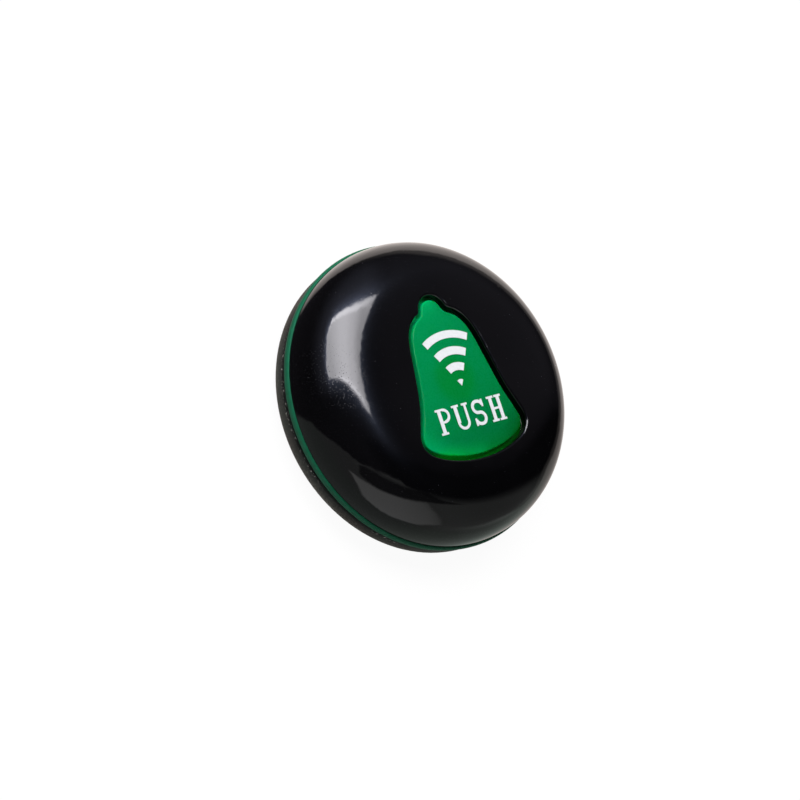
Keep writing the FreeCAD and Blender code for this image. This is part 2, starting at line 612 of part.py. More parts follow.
def main():
    save("front_cover", front_cover())
    save("seal_ring", seal_ring())
    save("base_cover", base_cover())
    save("base_pad", base_pad())
    key, ball = key_parts()
    save("call_key", key)
    signal, word = marks(ball)
    save("key_signal_mark", signal)
    save("key_word_mark", word)
    save("key_gasket", key_gasket())
    save("pcb", pcb())
    save("pcb_screws", screws())
    body, plate, plunger, dome, leads = tact_switch()
    save("switch_body", body)
    save("switch_plate", plate)
    save("switch_plunger", plunger)
    save("switch_dome", dome)
    save("switch_leads", leads)
    b, l = chip()
    save("encoder_chip", b)
    save("encoder_leads", l)
    save("saw_resonator", resonator())
    r, c = small_parts()
    save("chip_resistors", r)
    save("chip_capacitors", c)
    save("rf_transistor", transistor())
    save("status_led", led())
    save("antenna_coil", antenna())
    frame, clip, plate = holder_parts()
    save("cell_holder", frame)
    save("cell_clip", clip)
    save("cell_contact", plate)
    can, cap, ring = coin_cell()
    save("cell_can", can)
    save("cell_cap", cap)
    save("cell_seal", ring)


main()
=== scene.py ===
import math
import bmesh
import bpy
import numpy as np
from mathutils import Matrix, Vector


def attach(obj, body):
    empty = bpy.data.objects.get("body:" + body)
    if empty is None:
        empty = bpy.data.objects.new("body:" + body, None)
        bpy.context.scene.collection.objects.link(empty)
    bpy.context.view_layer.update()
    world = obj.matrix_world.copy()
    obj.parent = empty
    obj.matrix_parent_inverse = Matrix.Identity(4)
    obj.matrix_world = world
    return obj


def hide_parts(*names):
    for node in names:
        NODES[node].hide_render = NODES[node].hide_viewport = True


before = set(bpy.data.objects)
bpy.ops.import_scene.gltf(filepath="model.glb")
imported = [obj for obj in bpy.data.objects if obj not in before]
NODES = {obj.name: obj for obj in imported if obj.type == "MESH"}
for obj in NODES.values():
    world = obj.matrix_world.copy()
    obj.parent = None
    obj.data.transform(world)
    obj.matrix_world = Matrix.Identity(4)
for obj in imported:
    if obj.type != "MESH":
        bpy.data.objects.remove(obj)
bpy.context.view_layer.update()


# ---------------------------------------------------------------- material kit
class Mat:
    """A small wrapper for building one node material."""

    def __init__(self, name):
        self.m = bpy.data.materials.new(name)
        self.m.use_nodes = True
        self.t = self.m.node_tree
        self.t.nodes.clear()
        self.out = self.t.nodes.new("ShaderNodeOutputMaterial")
        self.b = self.t.nodes.new("ShaderNodeBsdfPrincipled")
        self.t.links.new(self.b.outputs[0], self.out.inputs["Surface"])
        self.co = self.t.nodes.new("ShaderNodeTexCoord").outputs["Object"]

    def set(self, **kw):
        for k, v in kw.items():
            s = self.b.inputs[k.replace("_", " ")]
            s.default_value = v
        return self

    def link(self, a, b):
        self.t.links.new(a, b)

    def node(self, kind, **kw):
        n = self.t.nodes.new(kind)
        for k, v in kw.items():
            setattr(n, k, v)
        return n

    def scaled(self, v=(1, 1, 1), loc=(0, 0, 0), rot=(0, 0, 0), co=None):
        n = self.node("ShaderNodeMapping")
        n.inputs["Scale"].default_value = v
        n.inputs["Location"].default_value = loc
        n.inputs["Rotation"].default_value = rot
        self.link(co or self.co, n.inputs[0])
        return n.outputs[0]

    def noise(self, scale, detail=4.0, rough=0.55, co=None, dist=0.0):
        n = self.node("ShaderNodeTexNoise")
        n.inputs["Scale"].default_value = scale
        n.inputs["Detail"].default_value = detail
        n.inputs["Roughness"].default_value = rough
        n.inputs["Distortion"].default_value = dist
        self.link(co or self.co, n.inputs["Vector"])
        return n.outputs[0]

    def voronoi(self, scale, co=None, feature="F1", out=0, rnd=1.0):
        n = self.node("ShaderNodeTexVoronoi", feature=feature)
        n.inputs["Scale"].default_value = scale
        if "Randomness" in n.inputs:
            n.inputs["Randomness"].default_value = rnd
        self.link(co or self.co, n.inputs["Vector"])
        return n.outputs[out]

    def ramp(self, fac, *stops, interp="LINEAR"):
        n = self.node("ShaderNodeValToRGB")
        n.color_ramp.interpolation = interp
        e = n.color_ramp.elements
        while len(e) < len(stops):
            e.new(0.5)
        for el, (p, c) in zip(e, stops):
            el.position = p
            el.color = tuple(c) + (1,) if len(c) == 3 else c
        self.link(fac, n.inputs[0])
        return n.outputs[0]

    def range(self, fac, a, b, c, d, smooth=False):
        n = self.node("ShaderNodeMapRange", interpolation_type="SMOOTHSTEP" if smooth else "LINEAR")
        n.clamp = True if not smooth else n.clamp
        for k, v in zip((1, 2, 3, 4), (a, b, c, d)):
            n.inputs[k].default_value = v
        self.link(fac, n.inputs[0])
        return n.outputs[0]

    def math(self, op, a, b=None, c=None):
        n = self.node("ShaderNodeMath", operation=op)
        for i, v in enumerate((a, b, c)):
            if v is None:
                continue
            if isinstance(v, (int, float)):
                n.inputs[i].default_value = v
            else:
                self.link(v, n.inputs[i])
        return n.outputs[0]

    def mix(self, fac, a, b, blend="MIX"):
        n = self.node("ShaderNodeMix", data_type="RGBA", blend_type=blend)
        for sock, v in ((n.inputs[0], fac), (n.inputs[6], a), (n.inputs[7], b)):
            if isinstance(v, (int, float)):
                sock.default_value = v
            elif isinstance(v, (tuple, list)):
                sock.default_value = tuple(v) + (1,) if len(v) == 3 else v
            else:
                self.link(v, sock)
        return n.outputs[2]

    def xyz(self, co=None):
        n = self.node("ShaderNodeSeparateXYZ")
        self.link(co or self.co, n.inputs[0])
        return n.outputs

    def radius(self):
        x, y, _ = self.xyz()
        return self.math("SQRT", self.math("ADD", self.math("MULTIPLY", x, x), self.math("MULTIPLY", y, y)))

    def color(self, s):
        self.link(s, self.b.inputs["Base Color"])

    def rough(self, s):
        self.link(s, self.b.inputs["Roughness"])

    def bump(self, height, strength=1.0, distance=0.0001, after=None):
        n = self.node("ShaderNodeBump")
        n.inputs["Strength"].default_value = strength
        n.inputs["Distance"].default_value = distance
        self.link(height, n.inputs["Height"])
        if after is not None:
            self.link(after, n.inputs["Normal"])
        self.link(n.outputs[0], self.b.inputs["Normal"])
        return n.outputs[0]


def give(node, m):
    o = NODES[node]
    o.data.materials.clear()
    o.data.materials.append(m.m)


# ---------------------------------------------------------------- materials
def cover_black():
    m = Mat("cover_black").set(IOR=1.5)
    smudge = m.noise(70.0, 4, 0.55, dist=0.3)
    wipe = m.noise(420.0, 3, 0.5, m.scaled((1, 9, 1), rot=(0, 0, 1.15)))
    dust = m.voronoi(1500.0)
    pick = m.noise(380.0, 2, 0.5)
    speck = m.math("MULTIPLY", m.range(dust, 0.06, 0.16, 1.0, 0.0, True), m.range(pick, 0.58, 0.66, 0.0, 0.8, True))
    base = m.ramp(smudge, (0.3, (0.00055, 0.00055, 0.00070)), (0.75, (0.0011, 0.00105, 0.0013)))
    # fine pits from handling, most of them on the left shoulder
    worn = m.node("ShaderNodeVectorMath", operation="DISTANCE")
    m.link(m.co, worn.inputs[0])
    worn.inputs[1].default_value = (-0.0255, 0.0075, 0.0155)
    zone = m.range(m.math("ADD", worn.outputs["Value"], m.math("MULTIPLY", m.noise(420.0, 3, 0.6), -0.016)), -0.0040, 0.0015, 1.0, 0.05, True)
    pit = m.math("MULTIPLY", m.range(m.voronoi(2500.0), 0.14, 0.38, 1.0, 0.0, True), zone)
    m.color(m.mix(m.math("MULTIPLY", speck, 0.3), base, (0.035, 0.035, 0.04)))
    r = m.range(smudge, 0.35, 0.75, 0.045, 0.07)
    r = m.math("ADD", r, m.range(wipe, 0.6, 0.8, 0.0, 0.05))
    r = m.math("ADD", r, m.math("MULTIPLY", pit, 0.25))
    m.rough(m.math("ADD", r, m.math("MULTIPLY", speck, 0.35)))
    peel = m.noise(5200.0, 2, 0.6)
    m.bump(m.math("ADD", m.math("ADD", speck, m.math("MULTIPLY", pit, -0.45)), m.math("MULTIPLY", peel, 0.25)), 0.35, 0.000010)
    return m


def key_green():
    m = Mat("key_green").set(IOR=1.49, Specular_IOR_Level=0.06, Subsurface_Weight=0.85, Subsurface_Scale=0.0014,
                             Subsurface_Radius=(0.12, 1.0, 0.3))
    x, y, z = m.xyz()
    rad = m.radius()
    # painted shade: a darker disc at the centre where the switch post behind the clear key blocks light
    painted_post_shade = m.range(rad, 0.0030, 0.0060, 1.0, 0.0, True)
    cloud = m.noise(150.0, 3, 0.5)
    # painted light: the key top is painted lighter towards upper left (-x, +y) and darker towards lower right
    painted_light_slope = m.math("ADD", m.math("MULTIPLY", x, -26.0), m.math("MULTIPLY", y, 26.0))
    t = m.range(m.math("ADD", painted_light_slope, m.math("MULTIPLY", cloud, 0.35)), -0.35, 0.75, 0.0, 1.0)
    c = m.ramp(t, (0.0, (0.0, 0.114, 0.026)), (1.0, (0.0, 0.180, 0.055)))
    c = m.mix(m.math("MULTIPLY", painted_post_shade, 0.6), c, (0.0, 0.132, 0.010))
    low = m.range(m.math("ADD", m.math("MULTIPLY", x, 0.25), m.math("MULTIPLY", y, -1.0)), 0.0095, 0.0125, 0.0, 1.0, True)
    # painted shade: the key top is painted darker towards its lower end
    painted_low_shade = m.range(m.math("ADD", m.math("MULTIPLY", x, 0.25), m.math("MULTIPLY", y, -1.0)), 0.0065, 0.0120, 0.0, 0.42, True)
    c = m.mix(painted_low_shade, c, (0.0, 0.088, 0.024))
    # painted light: the side wall is painted lighter green on the left and darker to the right
    wall = m.range(z, 0.01775, 0.0182, 1.0, 0.0, True)
    c = m.mix(wall, c, m.ramp(m.range(x, 0.0005, 0.0035, 0.0, 1.0), (0.0, (0.0, 0.27, 0.085)), (1.0, (0.0, 0.085, 0.024))))
    # painted light: the lower side wall is painted bright green on the left, fading to dark on the right
    painted_lower_wall_light = m.ramp(m.range(x, -0.008, 0.009, 0.0, 1.0), (0.0, (0.0, 0.25, 0.010)), (1.0, (0.0, 0.055, 0.0015)))
    c = m.mix(m.math("MULTIPLY", wall, low), c, painted_lower_wall_light)
    m.color(c)
    # painted glow: emission stands in for light that the clear green plastic carries to its lower edge, brightest on
    # the left
    painted_glow = m.ramp(m.range(x, -0.008, 0.009, 0.0, 1.0), (0.0, (0.0, 0.062, 0.0022)), (0.62, (0.0, 0.018, 0.0008)), (1.0, (0.0, 0.001, 0.0)))
    m.link(m.mix(m.math("MULTIPLY", wall, low), (0.0, 0.0, 0.0), painted_glow), m.b.inputs["Emission Color"])
    m.b.inputs["Emission Strength"].default_value = 1.0
    speck = m.noise(2600.0, 2, 0.5)
    m.rough(m.range(speck, 0.3, 0.8, 0.24, 0.34))
    m.bump(m.math("ADD", m.math("MULTIPLY", speck, 0.15), cloud), 0.12, 0.000008)
    return m


def print_white():
    m = Mat("print_white").set(Roughness=0.42, Specular_IOR_Level=0.3)
    n = m.noise(1800.0, 3, 0.6)
    m.color(m.ramp(n, (0.3, (0.44, 0.455, 0.475)), (0.7, (0.49, 0.505, 0.525))))
    m.bump(n, 0.2, 0.00002)
    return m


def ring_green():
    m = Mat("ring_green").set(IOR=1.42, Specular_IOR_Level=0.14)
    n = m.noise(700.0, 4, 0.6)
    fine = m.noise(3800.0, 3, 0.6)
    c = m.ramp(n, (0.3, (0.0035, 0.062, 0.030)), (0.72, (0.0065, 0.080, 0.041)))
    z = m.xyz()[2]
    rub = m.math("MULTIPLY", m.range(fine, 0.60, 0.68, 0.0, 1.0), m.range(z, 0.0062, 0.0067, 1.0, 0.0, True))
    c = m.mix(m.math("MULTIPLY", rub, 0.4), c, (0.08, 0.12, 0.10))
    # painted shade: the ring's downward-facing lower edge is painted almost black
    c = m.mix(m.range(z, 0.00615, 0.0064, 1.0, 0.0, True), c, (0.0008, 0.008, 0.004))
    m.color(c)
    m.rough(m.range(n, 0.3, 0.7, 0.46, 0.6))
    m.bump(m.math("ADD", n, fine), 0.3, 0.00003)
    return m


def base_black():
    m = Mat("base_black").set(Specular_IOR_Level=0.22)
    grain = m.noise(4200.0, 3, 0.65)
    blot = m.noise(240.0, 4, 0.62)
    tint = m.noise(70.0, 2, 0.5)
    z = m.xyz()[2]
    out = m.range(m.radius(), 0.0280, 0.0286, 0.0, 1.0)
    clean = m.ramp(grain, (0.3, (0.0125, 0.0120, 0.0115)), (0.72, (0.021, 0.020, 0.0195)))
    brown = m.ramp(blot, (0.3, (0.018, 0.0145, 0.0125)), (0.72, (0.038, 0.0310, 0.0265)))
    olive = m.ramp(blot, (0.3, (0.017, 0.0180, 0.0150)), (0.72, (0.035, 0.0370, 0.0315)))
    c = m.mix(m.range(tint, 0.42, 0.58, 0.0, 1.0, True), brown, olive)
    scuff = m.range(m.noise(2100.0, 3, 0.6), 0.54, 0.70, 0.0, 0.6)
    c = m.mix(scuff, c, (0.075, 0.068, 0.060))
    # painted shade: the wall is painted darker towards the top, under the ring
    zz = m.math("ADD", z, m.math("MULTIPLY", m.math("ADD", blot, -0.5), 0.0022))
    c = m.mix(m.range(zz, 0.0036, 0.0052, 0.0, 0.65, True), c, (0.0070, 0.0066, 0.0058))
    # painted light: the wall is painted lighter low down, most towards -y
    painted_light_foot = m.range(zz, 0.0016, 0.0042, 1.0, 0.0, True)
    sx, sy, _ = m.xyz()
    side = m.range(m.math("ADD", sy, m.math("MULTIPLY", sx, 0.25)), -0.022, -0.006, 0.56, 0.26, True)
    c = m.mix(m.math("MULTIPLY", painted_light_foot, side), c, (0.150, 0.136, 0.117))
    # painted shade: a near-black band on the top of the wall, just under the ring
    edge = m.math("MULTIPLY", m.range(z, 0.0047, 0.0051, 0.0, 1.0, True), m.range(z, 0.0058, 0.0060, 1.0, 0.0))
    c = m.mix(m.math("MULTIPLY", edge, 0.94), c, (0.0010, 0.0017, 0.0013))
    # light specks on the upper lip: chipped edge and painted glints
    chips_and_painted_glints = m.range(m.noise(2400.0, 4, 0.7), 0.60, 0.64, 0.0, 1.0)
    lip = m.math("MULTIPLY", m.range(z, 0.0044, 0.0048, 0.0, 1.0, True), m.range(z, 0.0052, 0.0055, 1.0, 0.0))
    lip = m.math("MULTIPLY", lip, m.range(m.noise(60.0, 2, 0.5), 0.42, 0.55, 0.0, 1.0))
    chips_and_painted_glints = m.math("MULTIPLY", m.math("MULTIPLY", chips_and_painted_glints, lip), out)
    c = m.mix(chips_and_painted_glints, c, (0.60, 0.58, 0.54))
    m.color(m.mix(out, clean, c))
    m.rough(m.range(grain, 0.3, 0.7, 0.5, 0.75))
    h = m.math("ADD", grain, m.math("MULTIPLY", chips_and_painted_glints, 1.5))
    m.bump(h, 0.7, 0.00006)
    return m


def plain(name, c0, c1, rough=(0.4, 0.55), scale=900.0, bump=0.3, metal=0.0, dist=0.00003, stretch=None, **kw):
    m = Mat(name).set(Metallic=metal, **kw)
    n = m.noise(scale, 4, 0.6, m.scaled(stretch) if stretch else None)
    m.color(m.ramp(n, (0.3, c0), (0.72, c1)))
    m.rough(m.range(n, 0.3, 0.72, *rough))
    m.bump(n, bump, dist)
    return m


give("front_cover", cover_black())
give("call_key", key_green())
WHITE = print_white()
give("key_signal_mark", WHITE)
give("key_word_mark", WHITE)
give("seal_ring", ring_green())
give("base_cover", base_black())
give("base_pad", plain("pad_grey", (0.05, 0.05, 0.052), (0.09, 0.09, 0.094), (0.8, 0.95), 4200.0, 0.9, dist=0.00012))
give("key_gasket", plain("gasket_clear", (0.52, 0.54, 0.52), (0.64, 0.66, 0.64), (0.4, 0.55)))


def board():
    """Green solder mask with copper tracks and tinned pads showing through it."""
    m = Mat("board_green").set(Specular_IOR_Level=0.55)
    x, y, z = m.xyz()
    weave = m.noise(520.0, 4, 0.6)
    c = m.ramp(weave, (0.3, (0.006, 0.100, 0.036)), (0.72, (0.011, 0.142, 0.052)))
    # tracks: blocks of parallel lines along X or Y, and filled copper areas between them
    flat = m.scaled((1, 1, 0))
    cell = m.node("ShaderNodeTexVoronoi", feature="F1", distance="CHEBYCHEV")
    cell.inputs["Scale"].default_value = 135.0
    cell.inputs["Randomness"].default_value = 0.8
    m.link(flat, cell.inputs["Vector"])
    way, fill, _ = m.xyz(cell.outputs["Color"])
    lines = []
    for v in (x, y):
        f = m.math("FRACT", m.math("MULTIPLY", v, 1150.0))
        lines.append(m.math("MULTIPLY", m.range(f, 0.22, 0.28, 0.0, 1.0), m.range(f, 0.62, 0.68, 1.0, 0.0)))
    along = m.math("GREATER_THAN", way, 0.5)
    a1 = m.math("MULTIPLY", lines[0], along)
    a2 = m.math("MULTIPLY", lines[1], m.math("SUBTRACT", 1.0, along))
    pour = m.math("GREATER_THAN", fill, 0.55)
    track = m.math("MAXIMUM", m.math("ADD", a1, a2), pour)
    c = m.mix(m.math("MULTIPLY", track, 0.6), c, (0.016, 0.205, 0.070))
    # plated through-holes
    dot = m.voronoi(330.0, flat, rnd=0.55)
    ring = m.math("MULTIPLY", m.range(dot, 0.055, 0.065, 0.0, 1.0), m.range(dot, 0.115, 0.125, 1.0, 0.0))
    pick = m.range(m.noise(210.0, 2, 0.5, flat), 0.53, 0.56, 0.0, 1.0)
    ring = m.math("MULTIPLY", ring, pick)
    hole = m.math("MULTIPLY", m.range(dot, 0.055, 0.065, 1.0, 0.0), pick)
    c = m.mix(ring, c, (0.62, 0.60, 0.56))
    c = m.mix(hole, c, (0.01, 0.012, 0.01))
    m.color(c)
    m.link(ring, m.b.inputs["Metallic"])
    m.rough(m.range(weave, 0.3, 0.7, 0.22, 0.34))
    h = m.math("ADD", track, m.math("ADD", ring, m.math("MULTIPLY", hole, -2.0)))
    m.bump(h, 0.6, 0.00004)
    return m


def chip_part(node, body, length, inset=0.00003):
    """Chip components as separate ceramic bodies between two wrapped, tinned ends."""
    src = NODES[node]
    bm = bmesh.new()
    bm.from_mesh(src.data)
    bm.verts.ensure_lookup_table()
    seen, boxes = set(), []
    for v in bm.verts:
        if v.index in seen:
            continue
        todo, group = [v], []
        seen.add(v.index)
        while todo:
            q = todo.pop()
            group.append(q.co.copy())
            for e in q.link_edges:
                w = e.other_vert(q)
                if w.index not in seen:
                    seen.add(w.index)
                    todo.append(w)
        lo = Vector([min(p[i] for p in group) for i in range(3)])
        hi = Vector([max(p[i] for p in group) for i in range(3)])
        key = tuple(round(c, 5) for c in (*lo, *hi))
        if key not in boxes:
            boxes.append(key)
    bm.free()
    # faces that aren't welded give flat boxes: join the ones that meet
    merged = []
    for b in boxes:
        b = list(b)
        again = True
        while again:
            again = False
            for o in merged:
                if all(b[i] <= o[i + 3] + 1e-5 and b[i + 3] >= o[i] - 1e-5 for i in range(3)):
                    b = [min(b[i], o[i]) for i in range(3)] + [max(b[i + 3], o[i + 3]) for i in range(3)]
                    merged.remove(o)
                    again = True
                    break
        merged.append(b)
    bm = bmesh.new()

    def block(lo, hi, mat):
        r = bmesh.ops.create_cube(bm, size=1.0)
        vs = r["verts"]
        for v in vs:
            v.co = Vector([(lo[i] + hi[i]) / 2 + v.co[i] * (hi[i] - lo[i]) for i in range(3)])
        es = list({e for v in vs for e in v.link_edges})
        f = bmesh.ops.bevel(bm, geom=es, offset=0.00004, segments=2, affect="EDGES", profile=0.5)
        for face in f["faces"]:
            face.material_index = mat
        for v in f["verts"]:
            for face in v.link_faces:
                face.material_index = mat

    for b in merged:
        lo, hi = b[:3], b[3:]
        ax = 0 if hi[0] - lo[0] > hi[1] - lo[1] else 1
        l2, h2 = list(lo), list(hi)
        for i in range(3):
            if i == ax:
                l2[i], h2[i] = lo[i] + length * 0.8, hi[i] - length * 0.8
            else:
                l2[i], h2[i] = lo[i] + inset, hi[i] - inset
        block(l2, h2, 0)
        for end in (0, 1):
            e0, e1 = list(lo), list(hi)
            if end:
                e0[ax] = hi[ax] - length
            else:
                e1[ax] = lo[ax] + length
            block(e0, e1, 1)
    me = bpy.data.meshes.new(node + "_detailed")
    bm.to_mesh(me)
    bm.free()
    me.materials.append(body.m)
    me.materials.append(TIN.m)
    o = bpy.data.objects.new(node + "_detailed", me)
    bpy.context.scene.collection.objects.link(o)
    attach(o, "housing")
    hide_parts(node)
    return o


give("pcb", board())
give("pcb_screws", plain("screw_steel", (0.45, 0.45, 0.46), (0.62, 0.62, 0.63), (0.22, 0.4), metal=1.0))
give("switch_body", plain("switch_black", (0.012, 0.012, 0.013), (0.022, 0.022, 0.023), (0.45, 0.6)))
STEEL = plain("switch_steel", (0.5, 0.5, 0.5), (0.66, 0.66, 0.66), (0.2, 0.36), metal=1.0, stretch=(1, 20, 1))
give("switch_plate", STEEL)
give("switch_dome", STEEL)
TIN = plain("lead_tin", (0.55, 0.55, 0.54), (0.7, 0.7, 0.69), (0.3, 0.45), metal=1.0)
give("switch_leads", TIN)
give("encoder_leads", TIN)
give("switch_plunger", plain("plunger_black", (0.015, 0.015, 0.016), (0.03, 0.03, 0.031), (0.4, 0.55)))
EPOXY = plain("chip_black", (0.014, 0.014, 0.015), (0.028, 0.028, 0.029), (0.5, 0.68), 3000.0, 0.5)
give("encoder_chip", EPOXY)
give("rf_transistor", EPOXY)
give("saw_resonator", plain("can_nickel", (0.52, 0.50, 0.46), (0.68, 0.66, 0.61), (0.2, 0.34), metal=1.0, stretch=(1, 12, 1)))
RESISTOR = plain("resistor_black", (0.012, 0.012, 0.013), (0.03, 0.03, 0.031), (0.3, 0.5))
CAPACITOR = plain("capacitor_tan", (0.25, 0.16, 0.08), (0.34, 0.22, 0.12), (0.4, 0.6))
give("chip_resistors", RESISTOR)
give("chip_capacitors", CAPACITOR)
chip_part("chip_resistors", RESISTOR, 0.00035)
chip_part("chip_capacitors", CAPACITOR, 0.00045)
give("status_led", plain("led_white", (0.66, 0.68, 0.6), (0.8, 0.82, 0.76), (0.2, 0.4)))
give("antenna_coil", plain("coil_copper", (0.55, 0.19, 0.07), (0.72, 0.28, 0.12), (0.2, 0.34), metal=1.0))
give("cell_holder", plain("holder_black", (0.012, 0.012, 0.013), (0.024, 0.024, 0.025), (0.45, 0.6)))
CLIP = plain("clip_steel", (0.56, 0.55, 0.52), (0.7, 0.69, 0.66), (0.2, 0.34), metal=1.0, stretch=(1, 20, 1))
give("cell_clip", CLIP)
give("cell_contact", CLIP)
CELL = plain("cell_steel", (0.5, 0.5, 0.49), (0.66, 0.66, 0.65), (0.2, 0.36), metal=1.0, stretch=(1, 30, 1))
give("cell_can", CELL)
give("cell_cap", CELL)
give("cell_seal", plain("cell_seal_grey", (0.10, 0.10, 0.11), (0.16, 0.16, 0.17), (0.4, 0.6)))


# ---------------------------------------------------------------- stage, light and camera
def unit(v):
    v = np.asarray(v, float)
    return v / np.linalg.norm(v, axis=-1, keepdims=True)


def floor():
    """A pale floor. It lights the part from below; the studio shell stands for it in reflections."""
    me = bpy.data.meshes.new("floor")
    s, z = 3.0, -0.00003
    me.from_pydata([(-s, -s, z), (s, -s, z), (s, s, z), (-s, s, z)], [], [(0, 1, 2, 3)])
    o = bpy.data.objects.new("floor", me)
    bpy.context.scene.collection.objects.link(o)
    m = Mat("floor_pale").set(Roughness=0.9, Specular_IOR_Level=0.0)
    n = m.noise(6.0, 3, 0.5)
    m.color(m.ramp(n, (0.3, (0.80, 0.80, 0.80)), (0.7, (0.83, 0.83, 0.83))))
    glow = m.node("ShaderNodeEmission")
    glow.inputs[0].default_value = (1, 1, 1, 1)
    glow.inputs[1].default_value = 1.0
    mix = m.node("ShaderNodeMixShader")
    lp = m.node("ShaderNodeLightPath")
    m.link(m.math("MULTIPLY", lp.outputs["Is Camera Ray"], 0.95), mix.inputs[0])
    m.link(m.b.outputs[0], mix.inputs[1])
    m.link(glow.outputs[0], mix.inputs[2])
    # from below, the floor lets the underside be seen
    clear = m.node("ShaderNodeBsdfTransparent")
    side = m.node("ShaderNodeMixShader")
    m.link(m.node("ShaderNodeNewGeometry").outputs["Backfacing"], side.inputs[0])
    m.link(mix.outputs[0], side.inputs[1])
    m.link(clear.outputs[0], side.inputs[2])
    m.link(side.outputs[0], m.out.inputs["Surface"])
    me.materials.append(m.m)
    o.visible_glossy = False


def card(name, corners, radiance, distance=4.0, color=(1, 1, 1)):
    """A soft light: a rectangle that covers the four directions (seen from the object), at a distance."""
    d = [Vector(c).normalized() for c in corners]
    n = sum(d, Vector()).normalized()
    p = [v / v.dot(n) * distance for v in d]
    centre = sum(p, Vector()) / 4
    x = ((p[1] - p[0]) + (p[2] - p[3])) / 2
    y = ((p[3] - p[0]) + (p[2] - p[1])) / 2
    w, h = x.length, y.length
    x.normalize()
    z = n
    y = z.cross(x).normalized()
    x = y.cross(z).normalized()
    l = bpy.data.lights.new(name, "AREA")
    l.shape = "RECTANGLE"
    l.size, l.size_y = w, h
    l.energy = radiance * math.pi * w * h
    l.color = color
    o = bpy.data.objects.new(name, l)
    bpy.context.scene.collection.objects.link(o)
    m = Matrix((x, y, z)).transposed().to_4x4()
    m.translation = centre
    o.matrix_world = m
    o.visible_camera = False
    o.visible_glossy = False
    return o


def step(v, a, b):
    """0 at a and 1 at b, smooth between."""
    t = np.clip((v - a) / (b - a), 0, 1)
    return t * t * (3 - 2 * t)


def poly_distance(corners, d):
    """Signed distance, positive inside, of each direction from a panel with these corner directions."""
    c = unit(np.sum(unit(corners), axis=0))
    e1 = unit(np.cross((0.0, 0.0, 1.0) if abs(c[2]) < 0.9 else (1.0, 0.0, 0.0), c))
    e2 = np.cross(c, e1)
    p = unit(corners)
    w = p @ c
    px, py = p @ e1 / w, p @ e2 / w
    dw = np.maximum(d @ c, 0.05)
    x, y = d @ e1 / dw, d @ e2 / dw
    best = np.full(len(d), 1e9)
    inside = np.zeros(len(d), bool)
    n = len(px)
    for i in range(n):
        ax, ay, bx, by = px[i], py[i], px[(i + 1) % n], py[(i + 1) % n]
        ex, ey = bx - ax, by - ay
        t = np.clip(((x - ax) * ex + (y - ay) * ey) / (ex * ex + ey * ey), 0, 1)
        best = np.minimum(best, np.hypot(x - ax - t * ex, y - ay - t * ey))
        with np.errstate(divide="ignore", invalid="ignore"):
            hit = ((ay > y) != (by > y)) & (x < (bx - ax) * (y - ay) / (by - ay) + ax)
        inside ^= hit
    s = np.where(inside, best, -best)
    return np.where(d @ c > 0.06, s, -5.0)


# The softbox, from its far upper corner round: upper edge, left edge, lower edge, right edge
SOFTBOX = [(0.43, 0.452, 0.782), (0.318, 0.537, 0.781), (0.238, 0.592, 0.77), (0.136, 0.661, 0.738), (0.022, 0.73, 0.683), (-0.106, 0.783, 0.614),
           (-0.221, 0.822, 0.525), (-0.292, 0.805, 0.516), (-0.397, 0.732, 0.553), (-0.488, 0.619, 0.616), (-0.551, 0.516, 0.656), (-0.575, 0.401, 0.713),
           (-0.423, 0.358, 0.832), (-0.253, 0.306, 0.918), (-0.106, 0.253, 0.962), (0.018, 0.203, 0.979), (0.11, 0.157, 0.981), (0.16, 0.123, 0.979),
           (0.205, 0.097, 0.974), (0.249, 0.061, 0.966), (0.275, 0.087, 0.957), (0.291, 0.146, 0.945), (0.3, 0.189, 0.935), (0.312, 0.239, 0.92),
           (0.328, 0.27, 0.906), (0.345, 0.313, 0.885), (0.375, 0.359, 0.855), (0.404, 0.404, 0.821)]
# A dim panel low on the near side
PANEL = [(-0.87, -0.49, 0.09), (-0.78, -0.62, -0.04), (-0.657, -0.714, -0.242), (-0.494, -0.82, -0.288), (-0.319, -0.914, -0.251),
         (-0.115, -0.988, -0.1), (0.125, -0.984, 0.13), (0.106, -0.823, 0.558), (0.084, -0.657, 0.749), (-0.105, -0.711, 0.695),
         (-0.343, -0.736, 0.584), (-0.578, -0.699, 0.422), (-0.725, -0.624, 0.292)]
# A dark gap between the near wall's top edge and that panel
DARK = [(-0.70, -0.43, 0.57), (-0.76, -0.56, 0.33), (-0.578, -0.70, 0.42), (-0.343, -0.74, 0.584), (-0.105, -0.715, 0.695),
        (0.084, -0.66, 0.749), (0.30, -0.57, 0.76), (0.44, -0.52, 0.735), (0.30, -0.49, 0.82), (0.217, -0.43, 0.88),
        (0.092, -0.455, 0.886), (-0.124, -0.485, 0.866), (-0.376, -0.475, 0.80), (-0.58, -0.43, 0.69)]


